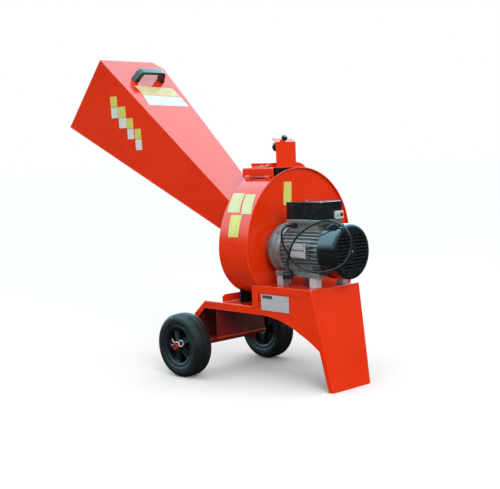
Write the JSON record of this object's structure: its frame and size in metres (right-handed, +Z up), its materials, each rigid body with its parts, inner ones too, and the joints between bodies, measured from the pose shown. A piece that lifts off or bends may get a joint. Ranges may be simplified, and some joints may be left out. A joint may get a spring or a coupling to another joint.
{
  "type": "electric garden shredder",
  "caption": "Wheeled electric garden shredder: sloping feed hopper, scroll drum with a knife disc, flanged motor with a cord, folded sheet frame.",
  "frame": {"origin": "on the floor, in the upright plane through the motor's axis, below the drum", "axes": "+X along the motor's axis from the hopper towards the motor, +Y towards the drum's outlet, +Z up"},
  "size_m": [1.5922, 0.7162, 1.338],
  "materials": {
    "red_enamel": "gloss",
    "dark_plastic": "satin",
    "tyre_rubber": "matte",
    "cord_rubber": "matte",
    "cast_aluminium": "cast",
    "steel": "machined",
    "winding_steel": "laminated core with enamelled windings",
    "zinc_plate": "zinc plated",
    "grey_plastic": "satin",
    "green_plastic": "satin",
    "red_plastic": "satin"
  },
  "bodies": {
    "machine": {"chassis": "red_enamel", "side_frame": "red_enamel", "drum_stop": "red_enamel", "saddle_rear": "red_enamel", "saddle_front": "red_enamel", "apron_plate": "red_enamel", "axle_tube": "red_enamel", "washer_left": "zinc_plate", "washer_right": "zinc_plate", "spring_clip_left": "zinc_plate", "spring_clip_right": "zinc_plate", "drum_shell": "red_enamel", "drum_back_plate": "red_enamel", "drum_face_plate": "red_enamel", "counter_knife": "steel", "motor_flange": "cast_aluminium", "motor_housing": "cast_aluminium", "motor_rear_shield": "cast_aluminium", "bearing_front": "steel", "bearing_rear": "steel", "stator": "winding_steel", "fan_cover": "dark_plastic", "foot_rail_left": "cast_aluminium", "foot_rail_right": "cast_aluminium", "spacer_1": "cast_aluminium", "spacer_2": "cast_aluminium", "spacer_3": "cast_aluminium", "spacer_4": "cast_aluminium", "foot_bolt_1": "zinc_plate", "foot_bolt_2": "zinc_plate", "foot_bolt_3": "zinc_plate", "foot_bolt_4": "zinc_plate", "terminal_box": "dark_plastic", "terminal_box_lid": "dark_plastic", "switch_housing": "grey_plastic", "cable_gland": "dark_plastic", "power_cord": "cord_rubber", "plug": "dark_plastic", "hopper": "red_enamel", "hopper_handle": "dark_plastic", "flap_pin": "zinc_plate", "cover_hinge_pin": "zinc_plate", "interlock_switch": "dark_plastic"},
    "wheel_left": {"wheel_rim_left": "dark_plastic", "tyre_left": "tyre_rubber"},
    "wheel_right": {"wheel_rim_right": "dark_plastic", "tyre_right": "tyre_rubber"},
    "rotor": {"rotor_disc": "steel", "knife_1": "steel", "knife_2": "steel", "rotor_bolt": "zinc_plate", "motor_shaft": "steel", "cooling_fan": "dark_plastic"},
    "cover": {"inspection_cover": "red_enamel", "lock_bracket": "red_enamel"},
    "closing_knob": {"closing_knob": "dark_plastic"},
    "top_knob": {"top_knob": "dark_plastic"},
    "feed_flap": {"feed_flap": "cord_rubber"},
    "start_button": {"start_button": "green_plastic"},
    "stop_button": {"stop_button": "red_plastic"}
  },
  "joints": [
    {"name": "wheel_left_turn", "type": "hinge", "parent": "machine", "child": "wheel_left", "pos_m": [-0.284, -0.24, 0.13], "axis": [0, 1, 0], "continuous": true},
    {"name": "wheel_right_turn", "type": "hinge", "parent": "machine", "child": "wheel_right", "pos_m": [-0.284, 0.24, 0.13], "axis": [0, 1, 0], "continuous": true},
    {"name": "rotor_turn", "type": "hinge", "parent": "machine", "child": "rotor", "pos_m": [0, 0, 0.52], "axis": [1, 0, 0], "continuous": true},
    {"name": "cover_open", "type": "hinge", "parent": "machine", "child": "cover", "pos_m": [0, -0.0345, 0.80239], "axis": [1, 0, 0], "range_deg": [0, 100]},
    {"name": "closing_knob_turn", "type": "hinge", "parent": "cover", "child": "closing_knob", "pos_m": [0.02, 0.0295, 0.921], "axis": [1, 0, 0], "range_deg": [0, 180]},
    {"name": "top_knob_turn", "type": "hinge", "parent": "cover", "child": "top_knob", "pos_m": [0.0175, 0.0675, 0.948], "axis": [0.5391, 0, 0.8423], "range_deg": [0, 180]},
    {"name": "feed_flap_swing", "type": "hinge", "parent": "machine", "child": "feed_flap", "pos_m": [-0.4, 0, 0.91248], "axis": [0, -1, 0], "range_deg": [-9, 42]},
    {"name": "start_button_press", "type": "slide", "parent": "machine", "child": "start_button", "axis": [-1, 0, 0], "range_m": [0, 0.003], "stiffness_N_per_m": 400, "springref_m": -0.001},
    {"name": "stop_button_press", "type": "slide", "parent": "machine", "child": "stop_button", "axis": [-1, 0, 0], "range_m": [0, 0.003], "stiffness_N_per_m": 400, "springref_m": -0.001}
  ]
}
